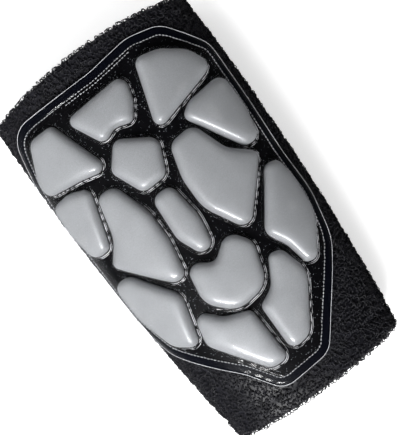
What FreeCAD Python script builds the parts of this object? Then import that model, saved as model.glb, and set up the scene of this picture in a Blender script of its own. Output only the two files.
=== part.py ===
"""Elbow pad: a terry sleeve with a clear moulded shield sewn over fourteen domed pads.

Frame: +Y runs up the arm, +X to the right of the shield, +Z out through the shield.
The sleeve lies on z = 0 with the shield up, centred in X and Y.  Millimetres.

The shield's outlines are drawn on the developed cover: "across" is the distance round the
sleeve from the crown line, "along" is the distance up the arm from mid length.
"""
import FreeCAD, Part
import math
import os
from functools import lru_cache

from FreeCAD import Vector

Flat = FreeCAD.Base.Vector2d

# ---------------------------------------------------------------- driving dimensions
SIZES = (
    ("sleeve_length", 231.0, "length of the sleeve along its sides"),
    ("end_crest", 2.3, "how far the middle of each end stands out beyond that length"),
    ("upper_bow", 8.0, "how far the upper-arm end bows out, from its corners to its middle"),
    ("forearm_bow", 2.3, "how far the forearm end bows out, from its corners to its middle"),
    ("upper_half_width", 66.5, "half width at the upper-arm end"),
    ("middle_half_width", 66.3, "half width at mid length"),
    ("forearm_half_width", 57.0, "half width at the forearm end"),
    ("upper_crown", 41.0, "crown above the widest line, upper-arm end"),
    ("middle_crown", 40.0, "crown above the widest line, mid length"),
    ("forearm_crown", 35.0, "crown above the widest line, forearm end"),
    ("lying_height", 25.0, "height of the widest line above the floor"),
    ("floor_press", 0.8, "how far the pile is pressed flat by the floor"),
    ("crown_power", 2.3, "squareness of the section above the widest line"),
    ("base_power", 3.0, "squareness of the section below the widest line"),
    ("sleeve_wall", 3.5, "thickness of the knitted terry"),
    ("hem_width", 14.0, "depth of the turned-in hems"),
    ("hem_thickness", 2.0, "thickness of the turned-in layer"),
    ("bond_gap", 0.05, "clearance between the sleeve and the backing"),
    ("backing_thickness", 0.6, "textured backing sheet"),
    ("film_thickness", 0.8, "clear moulded film"),
    ("pad_height", 6.0, "height of a pad above the backing"),
    ("pad_rounding", 2.4, "rounding of a pad's upper edge"),
    ("flange_width", 5.2, "film outside the stitch line"),
    ("stitch_pitch", 2.0, "one perimeter stitch to the next"),
    ("stitch_run", 1.5, "visible length of a perimeter stitch"),
    ("thread_diameter", 0.5, "sewing thread"),
    ("overlap_inset", 1.7, "second row of the overlap, inside the first"),
    ("overlap_from", -26.0, "start of the overlapping row, across"),
    ("overlap_to", 20.0, "end of the overlapping row, across"),
    ("hem_stitch_pitch", 4.0, "one hem stitch to the next"),
    ("hem_stitch_run", 2.8, "visible length of a hem stitch"),
    ("hem_stitch_inset", 2.5, "hem stitches outside the turned edge"),
    ("thread_gap", 0.05, "clearance under a thread"),
)

# Outlines: (across, along, corner radius), counter-clockwise.
SEAM = (
    (-73, 62, 50), (-72, -24, 28), (-62, -48.5, 18), (-29.5, -80.5, 33), (-17.5, -98, 7),
    (9.5, -96, 9), (23, -79, 33), (49.3, -48, 30), (57, -21.5, 36), (55.8, 5, 60),
    (58, 40, 55), (59, 76, 9), (39.5, 98, 13), (21.5, 101.5, 20), (-5, 97.8, 65), (-60, 97, 15),
)
PADS = {
    "pad_top_left": (
        (-21, 66, 4.5), (-12, 70.5, 9), (-1.5, 67, 4), (5.5, 77, 22), (9.5, 91.5, 5), (-32, 88.5, 4)),
    "pad_top_right": (
        (6, 54.5, 4), (54, 67.5, 5.5), (47, 82, 18), (33, 91.5, 18), (19, 94.5, 5)),
    "pad_upper_right": (
        (42, 19.5, 6), (52, 19.5, 6), (55.5, 40, 40), (55, 60.5, 5.5), (30, 58, 15), (22, 52.5, 4)),
    "pad_upper_left": (
        (-67, 60.5, 5), (-43, 57.5, 60), (-26.5, 53.5, 4.5), (-39.5, 91.5, 4), (-55, 91.5, 6),
        (-67, 70, 10)),
    "pad_upper_centre": (
        (-19.5, 32, 5), (-4, 32.5, 6), (4.5, 52, 6), (-16, 65, 5), (-27.5, 51, 5)),
    "pad_elbow_right": (
        (16, -19.5, 6), (46, 13, 4.5), (31.5, 25, 12), (23.5, 46.5, 7), (7.5, 45, 7), (2, 25, 30),
        (2, 6, 25)),
    "pad_left_side": (
        (-66.5, 17, 6), (-54.5, 17.5, 5), (-50.5, 28, 40), (-43, 51, 4.5), (-55, 55.5, 18),
        (-69.5, 54.5, 5), (-70, 34, 40)),
    "pad_elbow_left": (
        (-59, 8, 4), (-35, -18.5, 6), (-27.5, -19.5, 5), (-23.5, 3, 40), (-23.5, 22, 30),
        (-31, 44.5, 7), (-42, 44.5, 5), (-48, 20.5, 20)),
    "pad_elbow_centre": (
        (-13.5, -14, 5), (-5.5, -13.5, 5), (-2.5, 4, 30), (-5.5, 26.5, 5), (-18, 26.5, 5.5),
        (-19.5, 0, 15)),
    "pad_right_side": (
        (31, -52.5, 3.5), (37.5, -54.5, 4.5), (53, -32, 22), (54.5, -10, 40), (52.5, 3.5, 4.5),
        (44, 4.5, 6), (21.5, -26, 6.5), (28, -38, 20)),
    "pad_lower_centre": (
        (-15, -52, 14), (6, -49, 13), (13.5, -25, 9), (4, -12.5, 7), (-10, -23, 6),
        (-24.5, -13.5, 5.5), (-28.5, -38, 14)),
    "pad_lower_left": (
        (-66.5, -25, 30), (-58, -48.5, 12), (-44.5, -56.5, 4.5), (-36, -26, 9), (-55, -1.5, 9),
        (-67, -1, 5)),
    "pad_bottom_right": (
        (-4, -87.5, 5), (9, -86, 9), (28.5, -56, 14), (23.5, -38.5, 5), (16, -36.5, 4),
        (7, -52.5, 14), (-4, -57.5, 4)),
    "pad_bottom_left": (
        (-41, -58, 8), (-19, -89, 7), (-8, -89.5, 4.5), (-9.5, -56, 4), (-24, -50.5, 14),
        (-36.5, -37.5, 4.5)),
}

DRAWN_LENGTH = 231.0  # the sleeve length the outlines are drawn for
DRAWN_HALF_ROUND = 106.3  # half width plus crown at mid length that they are drawn for
STATIONS = 9  # cross-sections that carry each form along the arm
ROUND_POINTS = 48  # points round each cross-section
COVER_SPARE = 5.0  # how far the shield's surface is made past its widest outline
COVER_POINTS = 25  # points across the shield's surface
END_SPARE = 20.0  # how far the forms run past the sleeve's ends, before trimming
SIDE_SPARE = 20.0  # how far the trimming block runs past the sleeve's sides
TRIM_HEIGHT = 110.0  # height of the trimming block
FINE = 720  # steps used to measure round a cross-section

doc = FreeCAD.newDocument("elbow_pad")


def make_sheet():
    """Writes the driving dimensions to the spreadsheet, one alias each."""
    sheet = doc.addObject("Spreadsheet::Sheet", "sizes")
    for row, (alias, value, meaning) in enumerate(SIZES, start=1):
        sheet.set(f"A{row}", meaning)
        sheet.set(f"B{row}", str(value))
        sheet.setAlias(f"B{row}", alias)
    doc.recompute()
    return sheet


sizes = make_sheet()


@lru_cache(maxsize=None)
def size(alias):
    """The value of one driving dimension."""
    return float(sizes.get(alias))


# ---------------------------------------------------------------- the sleeve's section
def through_three(along, upper, middle, forearm):
    """A smooth value along the arm, set at its two ends and its middle."""
    reach = size("sleeve_length") / 2
    slope = (upper - forearm) / (2 * reach)
    bend = (upper + forearm - 2 * middle) / (2 * reach * reach)
    return middle + slope * along + bend * along * along


def section_frame(along):
    """Half width, crown height and depth of the section at one station."""
    half = through_three(
        along, size("upper_half_width"), size("middle_half_width"), size("forearm_half_width"))
    crown = through_three(along, size("upper_crown"), size("middle_crown"), size("forearm_crown"))
    return half, crown, size("lying_height") + size("floor_press")


def section_point(angle, along, outward):
    """A point of the section, moved outward along its normal.  Angle 0 is +X, 90 is up."""
    half, crown, depth = section_frame(along)
    power = size("crown_power") if math.sin(angle) >= 0 else size("base_power")
    rise = crown if math.sin(angle) >= 0 else depth
    cos, sin = math.cos(angle), math.sin(angle)
    radius = (abs(cos / half) ** power + abs(sin / rise) ** power) ** (-1 / power)
    x, z = radius * cos, radius * sin
    normal_x = math.copysign(abs(x / half) ** (power - 1) / half, x)
    normal_z = math.copysign(abs(z / rise) ** (power - 1) / rise, z)
    scale = outward / math.hypot(normal_x, normal_z)
    return Vector(x + scale * normal_x, along, size("lying_height") + z + scale * normal_z)


@lru_cache(maxsize=None)
def measured_section(along):
    """(angle, distance) pairs round the section, from the crown line to the right."""
    steps = []
    distance = 0.0
    last = section_point(math.pi / 2, along, 0)
    for step in range(FINE + 1):
        angle = math.pi / 2 - 2 * math.pi * step / FINE
        here = section_point(angle, along, 0)
        distance += here.distanceToPoint(last)
        steps.append((angle, distance))
        last = here
    return steps


def angle_at(steps, across):
    """The angle at a distance round the section, negative to the left."""
    girth = steps[-1][1]
    wanted = across % girth
    low, high = 0, len(steps) - 1
    while high - low > 1:
        middle = (low + high) // 2
        low, high = (middle, high) if steps[middle][1] <= wanted else (low, middle)
    (first, start), (second, end) = steps[low], steps[high]
    return first + (second - first) * (wanted - start) / (end - start)


def cover_point(across, along, outward):
    """A point of the developed cover, at a height above the terry."""
    return section_point(angle_at(measured_section(along), across), along, outward)


def spread(low, high, count):
    """Evenly spaced values, both ends included."""
    return [low + (high - low) * step / (count - 1) for step in range(count)]


@lru_cache(maxsize=None)
def cover_surface(outward):
    """The cover at a height above the terry, as a surface whose u and v are across and along."""
    reach = size("sleeve_length") / 2
    side = max(abs(corner[0]) for corner in grown(fitted(SEAM), size("flange_width")))
    across_at = spread(-side - COVER_SPARE, side + COVER_SPARE, COVER_POINTS)
    along_at = spread(-reach, reach, STATIONS)
    rows = []
    for along in along_at:
        steps = measured_section(along)
        points = [section_point(angle_at(steps, across), along, outward) for across in across_at]
        row = Part.BSplineCurve()
        row.interpolate(Points=points, Parameters=across_at)
        rows.append(row)
    columns = []
    for pole in range(rows[0].NbPoles):
        column = Part.BSplineCurve()
        column.interpolate(Points=[row.getPole(pole + 1) for row in rows], Parameters=along_at)
        columns.append(column)
    surface = Part.BSplineSurface()
    surface.buildFromPolesMultsKnots(
        [column.getPoles() for column in columns],
        rows[0].getMultiplicities(), columns[0].getMultiplicities(),
        rows[0].getKnots(), columns[0].getKnots(), False, False,
        rows[0].Degree, columns[0].Degree)
    return surface


# ---------------------------------------------------------------- outlines on the cover
def turn(before, corner, after):
    """Twice the area of a corner's triangle, positive where the outline turns left."""
    return ((corner[0] - before[0]) * (after[1] - corner[1])
            - (corner[1] - before[1]) * (after[0] - corner[0]))


def unit(start, end):
    """The direction from one flat point to another."""
    length = math.hypot(end[0] - start[0], end[1] - start[1])
    return (end[0] - start[0]) / length, (end[1] - start[1]) / length


def fitted(outline):
    """The outline stretched with the sleeve: along with its length, across with its girth."""
    along = size("sleeve_length") / DRAWN_LENGTH
    across = (size("middle_half_width") + size("middle_crown")) / DRAWN_HALF_ROUND
    return [(corner[0] * across, corner[1] * along, corner[2] * min(across, along))
            for corner in outline]


def grown(outline, distance):
    """The outline moved outward by a distance, its rounded corners with it."""
    result = []
    for index, corner in enumerate(outline):
        before, after = outline[index - 1], outline[(index + 1) % len(outline)]
        came, goes = unit(before, corner), unit(corner, after)
        away = (came[1] + goes[1], -came[0] - goes[0])
        scale = distance * 2 / (away[0] ** 2 + away[1] ** 2)
        radius = corner[2] + (distance if turn(before, corner, after) > 0 else -distance)
        result.append((corner[0] + away[0] * scale, corner[1] + away[1] * scale, radius))
    return result


def rounded(outline):
    """The outline as ("line", start, end) and ("arc", start, middle, end) pieces."""
    pieces = []
    ends = []
    for index, corner in enumerate(outline):
        before, after = outline[index - 1], outline[(index + 1) % len(outline)]
        came, goes = unit(before, corner), unit(corner, after)
        half_turn = math.acos(came[0] * goes[0] + came[1] * goes[1]) / 2
        setback = corner[2] * math.tan(half_turn)
        start = (corner[0] - came[0] * setback, corner[1] - came[1] * setback)
        end = (corner[0] + goes[0] * setback, corner[1] + goes[1] * setback)
        inward = unit((0, 0), (goes[0] - came[0], goes[1] - came[1]))
        depth = corner[2] * (1 / math.cos(half_turn) - 1)
        middle = (corner[0] + inward[0] * depth, corner[1] + inward[1] * depth)
        ends.append((start, middle, end))
    for index, (start, middle, end) in enumerate(ends):
        came = unit(outline[index - 1], outline[index])
        last = ends[index - 1][2]
        if (start[0] - last[0]) * came[0] + (start[1] - last[1]) * came[1] <= 0:
            raise ValueError(f"two roundings overlap before the corner {outline[index]}")
        pieces.append(("line", last, start))
        pieces.append(("arc", start, middle, end))
    return pieces


def cover_face(outline, surface):
    """The part of a cover surface inside an outline."""
    edges = []
    for kind, *points in rounded(outline):
        flat = [Flat(*point) for point in points]
        curve = Part.Geom2d.Line2dSegment(*flat) if kind == "line" else Part.Geom2d.ArcOfCircle2d(*flat)
        edges.append(curve.toShape(surface))
    face = Part.Face(surface, Part.Wire(edges))
    face.validate()
    return face


def flat_wire(outline):
    """The outline as a wire on the flat developed cover."""
    edges = []
    for kind, *points in rounded(outline):
        flat = [Vector(*point, 0) for point in points]
        shape = Part.LineSegment(*flat) if kind == "line" else Part.Arc(*flat)
        edges.append(shape.toShape())
    return Part.Wire(edges)


# ---------------------------------------------------------------- document helpers
def feature(name, shape):
    """A plain feature holding a shape worked out from the sheet."""
    item = doc.addObject("Part::Feature", name)
    item.Shape = shape
    return item


def plate(name, outline, level, thickness):
    """A plate of even thickness on the cover; level is its underside, thickness an expression.

    Its face looks in at the arm, so the plate grows away from the face's own direction.
    """
    face = feature(f"{name}_face", cover_face(outline, cover_surface(level)).reversed())
    item = doc.addObject("Part::Offset", name)
    item.Source = face
    item.Fill = True
    item.setExpression("Value", f"-({thickness})")
    doc.recompute()
    return item


def domed(name, outline, level, thickness, rounding):
    """A plate whose upper edge is rounded."""
    block = plate(f"{name}_block", outline, level, thickness)
    item = doc.addObject("Part::Fillet", name)
    item.Base = block
    top = upper_face(block.Shape)
    rim = [index for index, edge in enumerate(block.Shape.Edges, start=1)
           if any(edge.isSame(other) for other in top.Edges)]
    item.Edges = [(index, rounding, rounding) for index in rim]
    doc.recompute()
    return item


def upper_face(shape):
    """The face of a plate that looks away from the sleeve: the larger of its two broad faces."""
    broad = sorted(shape.Faces, key=lambda face: face.Area)[-2:]
    return max(broad, key=lambda face: face.CenterOfMass.z)


def form(name, outward):
    """The sleeve's whole form at a distance outside the terry, run past both ends."""
    reach = size("sleeve_length") / 2 + END_SPARE
    wires = []
    for number, along in enumerate(spread(-reach, reach, STATIONS)):
        points = [section_point(2 * math.pi * step / ROUND_POINTS, along, outward)
                  for step in range(ROUND_POINTS)]
        ring = Part.BSplineCurve()
        ring.interpolate(Points=points, PeriodicFlag=True)
        wires.append(feature(f"{name}_ring_{number}", Part.Wire(ring.toShape())))
    item = doc.addObject("Part::Loft", name)
    item.Sections = wires
    item.Solid = True
    return item


def widest():
    """The greatest half width of the sleeve."""
    return max(size("upper_half_width"), size("middle_half_width"), size("forearm_half_width"))


def bow_at(x, way):
    """How far an end line stands out, at a distance from its middle; way is +1 at the upper arm."""
    bow = size("upper_bow") if way > 0 else size("forearm_bow")
    return size("end_crest") - bow * (x / widest()) ** 2


def bowed_block(name, low, high):
    """A block on the floor between two end lines, each (side position, +1 or -1 for its bow)."""
    side = widest() + SIDE_SPARE
    sketch = doc.addObject("Sketcher::SketchObject", f"{name}_sketch")
    arcs = []
    for position, way in (low, high):
        corner, middle = position + way * bow_at(side, way), position + way * bow_at(0, way)
        arcs.append(Part.Arc(
            Vector(-side, corner, 0), Vector(0, middle, 0), Vector(side, corner, 0)))
    sketch.addGeometry(arcs[0])
    sketch.addGeometry(arcs[1])
    sketch.addGeometry(Part.LineSegment(arcs[0].EndPoint, arcs[1].EndPoint))
    sketch.addGeometry(Part.LineSegment(arcs[0].StartPoint, arcs[1].StartPoint))
    block = doc.addObject("Part::Extrusion", name)
    block.Base = sketch
    block.Dir = Vector(0, 0, 1)
    block.DirMode = "Custom"
    block.LengthFwd = TRIM_HEIGHT
    block.Solid = True
    return block


def boolean(kind, name, base, tool):
    """A cut or common of two objects."""
    item = doc.addObject(f"Part::{kind}", name)
    item.Base = base
    item.Tool = tool
    return item


def thread_bar(middle, back, ahead, run):
    """One visible stitch: a short round bar, parallel to the line from back to ahead."""
    direction = (ahead - back).normalize()
    start = middle - direction * (run / 2)
    return Part.makeCylinder(size("thread_diameter") / 2, run, start, direction)


# ---------------------------------------------------------------- the sleeve and its hems
def build_sleeve():
    """The terry tube and the two turned-in hems."""
    wall, hem = size("sleeve_wall"), size("hem_thickness")
    reach = size("sleeve_length") / 2
    outer = form("outer_form", 0)
    inner = form("inner_form", -wall)
    lining = form("hem_form", -wall - hem)
    turn_line = reach - size("hem_width")
    tube = boolean("Cut", "tube", outer, inner)
    whole = bowed_block("sleeve_block", (-reach, -1), (reach, 1))
    sleeve = boolean("Common", "terry_sleeve", tube, whole)
    ring = boolean("Cut", "hem_ring", inner, lining)
    upper_part = bowed_block("upper_hem_block", (turn_line, 1), (reach, 1))
    forearm_part = bowed_block("forearm_hem_block", (-reach, -1), (-turn_line, -1))
    upper_hem = boolean("Common", "upper_arm_hem", ring, upper_part)
    forearm_hem = boolean("Common", "forearm_hem", ring, forearm_part)
    doc.recompute()
    return [sleeve, upper_hem, forearm_hem]


def hem_stitches(name, side):
    """The row of stitches that holds one hem; side is +1 at the upper arm, -1 at the forearm."""
    level = -(size("sleeve_wall") + size("hem_thickness") + size("thread_gap")
              + size("thread_diameter") / 2)
    line = size("sleeve_length") / 2 - size("hem_width") + size("hem_stitch_inset")
    steps = measured_section(side * line)
    girth = steps[-1][1]
    count = round(girth / size("hem_stitch_pitch"))
    run = size("hem_stitch_run")
    bars = []
    for number in range(count):
        place = girth * number / count
        flat = section_point(angle_at(steps, place), side * line, level)
        along = side * (line + bow_at(flat.x, side))
        back = section_point(angle_at(steps, place - run / 2), along, level)
        ahead = section_point(angle_at(steps, place + run / 2), along, level)
        bars.append(thread_bar((back + ahead) / 2, back, ahead, run))
    return feature(name, Part.makeCompound(bars))


# ---------------------------------------------------------------- the shield
def build_shield():
    """The backing, the pads and the clear film moulded over them."""
    gap, film = size("bond_gap"), size("film_thickness")
    seat = gap + size("backing_thickness")
    edge = grown(fitted(SEAM), size("flange_width"))
    backing = plate("backing_sheet", edge, gap, "sizes.backing_thickness")
    pads, caps = [], []
    for name, drawn in PADS.items():
        outline = fitted(drawn)
        pads.append(domed(name, outline, seat, "sizes.pad_height", size("pad_rounding")))
        caps.append(domed(
            f"{name}_cap", grown(outline, film), seat, "sizes.pad_height + sizes.film_thickness",
            size("pad_rounding") + film))
    sheet = plate("film_sheet", edge, seat, "sizes.film_thickness")
    moulding = doc.addObject("Part::MultiFuse", "film_moulding")
    moulding.Shapes = [sheet] + caps
    pockets = doc.addObject("Part::Compound", "film_pockets")
    pockets.Links = pads
    doc.recompute()
    shield = boolean("Cut", "clear_shield_film", moulding, pockets)
    doc.recompute()
    return [backing] + pads + [shield]


def row_of_stitches(outline, level, keep):
    """Stitches along an outline, at the points where keep is true."""
    wire = flat_wire(outline)
    count = round(wire.Length / size("stitch_pitch"))
    flat = wire.discretize(Number=2 * count + 1)
    bars = []
    for place in range(1, len(flat), 2):
        if keep(flat[place]):
            back, middle, ahead = (
                cover_point(point.x, point.y, level) for point in flat[place - 1:place + 2])
            bars.append(thread_bar(middle, back, ahead, size("stitch_run")))
    return bars


def perimeter_stitches():
    """The lock stitch round the shield, with its overlapping second row at the upper arm."""
    level = (size("bond_gap") + size("backing_thickness") + size("film_thickness")
             + size("thread_gap") + size("thread_diameter") / 2)
    first = fitted(SEAM)
    second = grown(first, -size("overlap_inset"))
    start, end = size("overlap_from"), size("overlap_to")
    bars = row_of_stitches(first, level, lambda point: True)
    bars += row_of_stitches(second, level, lambda point: point.y > 0 and start < point.x < end)
    return feature("perimeter_stitches", Part.makeCompound(bars))


# ---------------------------------------------------------------- build, check and write
nodes = build_sleeve()
nodes.append(hem_stitches("upper_arm_hem_stitches", 1))
nodes.append(hem_stitches("forearm_hem_stitches", -1))
nodes += build_shield()
nodes.append(perimeter_stitches())
doc.recompute()

for item in doc.Objects:
    if "Invalid" in item.State or "Error" in item.State:
        raise RuntimeError(f"{item.Name} failed: {item.State}")
for node in nodes:
    if node.Shape.isNull() or not node.Shape.isValid() or not node.Shape.Solids:
        raise RuntimeError(f"{node.Label} has no valid solid")

os.makedirs("parts", exist_ok=True)
for node in nodes:
    node.Shape.exportStep(f"parts/{node.Label}.step")
    print(f"{node.Label}: {len(node.Shape.Solids)} solids, {node.Shape.Volume / 1000:.2f} cm3")
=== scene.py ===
"""Elbow pad: a pull-on terry sleeve with a clear moulded shield over fourteen domed silver pads.

Everything is in the part's frame, in metres: +Y up the arm, +X to the right of the shield,
+Z out through the shield.  The shield is worked out on the developed cover, in millimetres:
"across" is the distance round the sleeve from its crown line, "along" is the distance up the
arm from mid length, and "height" is the distance out from the terry.
"""

import logging
import math
from dataclasses import dataclass, field
from enum import Enum
from typing import Sequence

import bpy
import numpy as np
from mathutils import Matrix, Vector
from mathutils.geometry import delaunay_2d_cdt


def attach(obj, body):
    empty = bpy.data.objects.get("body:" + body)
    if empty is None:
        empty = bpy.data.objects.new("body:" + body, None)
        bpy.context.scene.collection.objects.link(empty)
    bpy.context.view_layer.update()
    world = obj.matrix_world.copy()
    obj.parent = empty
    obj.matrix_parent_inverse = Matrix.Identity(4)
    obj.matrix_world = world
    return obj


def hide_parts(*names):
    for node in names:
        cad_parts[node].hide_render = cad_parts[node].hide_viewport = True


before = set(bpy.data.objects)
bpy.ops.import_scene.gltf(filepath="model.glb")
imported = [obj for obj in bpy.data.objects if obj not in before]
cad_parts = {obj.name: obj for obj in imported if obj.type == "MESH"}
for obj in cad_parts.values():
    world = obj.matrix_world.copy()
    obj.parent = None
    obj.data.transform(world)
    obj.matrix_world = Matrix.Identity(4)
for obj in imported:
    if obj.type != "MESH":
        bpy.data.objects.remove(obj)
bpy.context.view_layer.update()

MM = 0.001
BLOCK = 4000  # spots that are measured at once, so that the arrays stay small
FAR = 50.0  # mm, further than any spot of the film is from a pad
NEARBY = 9.0  # mm beyond its box within which a pad is measured
log = logging.getLogger("elbow_pad")

Array = np.ndarray
Links = bpy.types.NodeLinks
Socket = bpy.types.NodeSocket


class Body(Enum):
    """The part's one rigid body."""

    WHOLE = "root"


class Slot(Enum):
    """The record's material slots."""

    TERRY = "black_terry"
    KNIT = "black_knit"
    BLACK_THREAD = "black_thread"
    BACKING = "textured_backing"
    PAD = "silver_pad"
    FILM = "clear_film"
    WHITE_THREAD = "white_thread"


# ------------------------------------------------------------------ meshes
def mesh_object(name: str, points: Array, faces: Sequence[Array],
                materials: Sequence[bpy.types.Material], slots: Array | None = None,
                ) -> bpy.types.Object:
    """A smooth-shaded mesh object.

    Args:
        name: the piece's name.
        points: its vertices in millimetres, one row each.
        faces: arrays of faces, each with its own number of corners.
        materials: the materials of its slots.
        slots: the slot of each face, or None for the first slot.

    Returns:
        The new object, linked to the scene.
    """
    mesh = bpy.data.meshes.new(name)
    corners = np.concatenate([group.reshape(-1) for group in faces]).astype(np.int32)
    totals = np.concatenate([np.full(len(group), group.shape[1]) for group in faces])
    totals = totals.astype(np.int32)
    starts = np.concatenate([[0], np.cumsum(totals)[:-1]]).astype(np.int32)
    mesh.vertices.add(len(points))
    mesh.vertices.foreach_set("co", (points * MM).astype(np.float32).reshape(-1))
    mesh.loops.add(len(corners))
    mesh.loops.foreach_set("vertex_index", corners)
    mesh.polygons.add(len(totals))
    mesh.polygons.foreach_set("loop_start", starts)
    mesh.polygons.foreach_set("loop_total", totals)
    for material in materials:
        mesh.materials.append(material)
    if slots is not None:
        mesh.polygons.foreach_set("material_index", slots.astype(np.int32))
    mesh.polygons.foreach_set("use_smooth", np.ones(len(totals), bool))
    mesh.update(calc_edges=True)
    mesh.validate()
    piece = bpy.data.objects.new(name, mesh)
    bpy.context.scene.collection.objects.link(piece)
    return piece


def settle(piece: bpy.types.Object, slot: Slot, *nodes: str) -> bpy.types.Object:
    """Rides a piece on the part's body and hides the CAD nodes that it stands for.

    Args:
        piece: the piece.
        slot: the record's slot it takes its finish from; not used.
        nodes: the CAD nodes that it replaces.

    Returns:
        The same piece.
    """
    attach(piece, Body.WHOLE.value)
    if nodes:
        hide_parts(*nodes)
    log.info("%s: %d faces", piece.name, len(piece.data.polygons))
    return piece


def tubes(paths: Array, radii: Array, sides: int, reference: Array) -> tuple[Array, list[Array]]:
    """Many short closed tubes at once.

    Args:
        paths: centre lines, shaped (tubes, points, 3).
        radii: radius at each point, shaped (tubes, points).
        sides: corners round each tube.
        reference: a direction across each tube, shaped (tubes, 3).

    Returns:
        The vertices, and the faces in groups.
    """
    count, steps = radii.shape
    tangent = np.gradient(paths, axis=1)
    tangent /= np.linalg.norm(tangent, axis=2, keepdims=True)
    first = reference[:, None, :] - tangent * np.sum(reference[:, None, :] * tangent, axis=2,
                                                     keepdims=True)
    first /= np.linalg.norm(first, axis=2, keepdims=True)
    second = np.cross(tangent, first)
    turn = 2 * np.pi * np.arange(sides) / sides
    ring = (np.cos(turn)[:, None] * first[:, :, None, :]
            + np.sin(turn)[:, None] * second[:, :, None, :])
    points = paths[:, :, None, :] + ring * radii[:, :, None, None]
    index = np.arange(count * steps * sides).reshape(count, steps, sides)
    near, far = index[:, :-1], index[:, 1:]
    walls = np.stack([near, np.roll(near, -1, 2), np.roll(far, -1, 2), far], axis=-1)
    ends = np.concatenate([index[:, 0, ::-1], index[:, -1, :]])
    return points.reshape(-1, 3), [walls.reshape(-1, 4), ends]


def triangulate(points: Array, rim: int) -> tuple[Array, Array]:
    """Triangles over flat points inside their closed rim.

    Args:
        points: (across, along) rows; the first ones are the rim in order.
        rim: how many points the rim has.

    Returns:
        The points as laid out and the triangles, counter-clockwise.
    """
    inside_only, nearness = 1, 1e-4
    edges = [(place, (place + 1) % rim) for place in range(rim)]
    spots = [Vector((float(x), float(y))) for x, y in points]
    laid, _, faces, *_ = delaunay_2d_cdt(spots, edges, [], inside_only, nearness)
    return np.array([tuple(spot) for spot in laid]), np.array([list(face) for face in faces])


def shell_faces(triangles: Array, count: int) -> list[Array]:
    """Faces of a closed shell made of a top layer, the same layer below, and its side wall.

    Args:
        triangles: the top layer's triangles.
        count: the vertices of one layer.

    Returns:
        The top faces, the bottom faces and the side wall.
    """
    ways = np.concatenate([triangles[:, [0, 1]], triangles[:, [1, 2]], triangles[:, [2, 0]]])
    keys = ways[:, 0].astype(np.int64) * count + ways[:, 1]
    back = ways[:, 1].astype(np.int64) * count + ways[:, 0]
    rim = ways[~np.isin(keys, back)]
    wall = np.stack([rim[:, 1], rim[:, 0], rim[:, 0] + count, rim[:, 1] + count], axis=1)
    return [triangles, triangles[:, ::-1] + count, wall]


@dataclass(frozen=True)
class Ripple:
    """A smooth uneven field over the cover, from a sum of waves.

    Attributes:
        wavelength: the typical distance from one rise to the next, in mm.
        seed: which pattern.
        waves: how many waves are added.
        spread: the shortest and longest wave, as shares of the wavelength.
    """

    wavelength: float
    seed: int
    waves: int = 9
    spread: tuple[float, float] = (0.7, 1.5)

    def at(self, flat: Array) -> Array:
        """The field at some spots.

        Args:
            flat: (across, along) rows.

        Returns:
            A value of about -1 to 1 for each.
        """
        chance = np.random.default_rng(self.seed)
        way = chance.uniform(0, 2 * np.pi, self.waves)
        pace = 2 * np.pi / (self.wavelength * chance.uniform(*self.spread, self.waves))
        phase = chance.uniform(0, 2 * np.pi, self.waves)
        run = flat[:, :1] * np.cos(way) * pace + flat[:, 1:2] * np.sin(way) * pace + phase
        return np.sin(run).sum(axis=1) / math.sqrt(self.waves)


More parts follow.
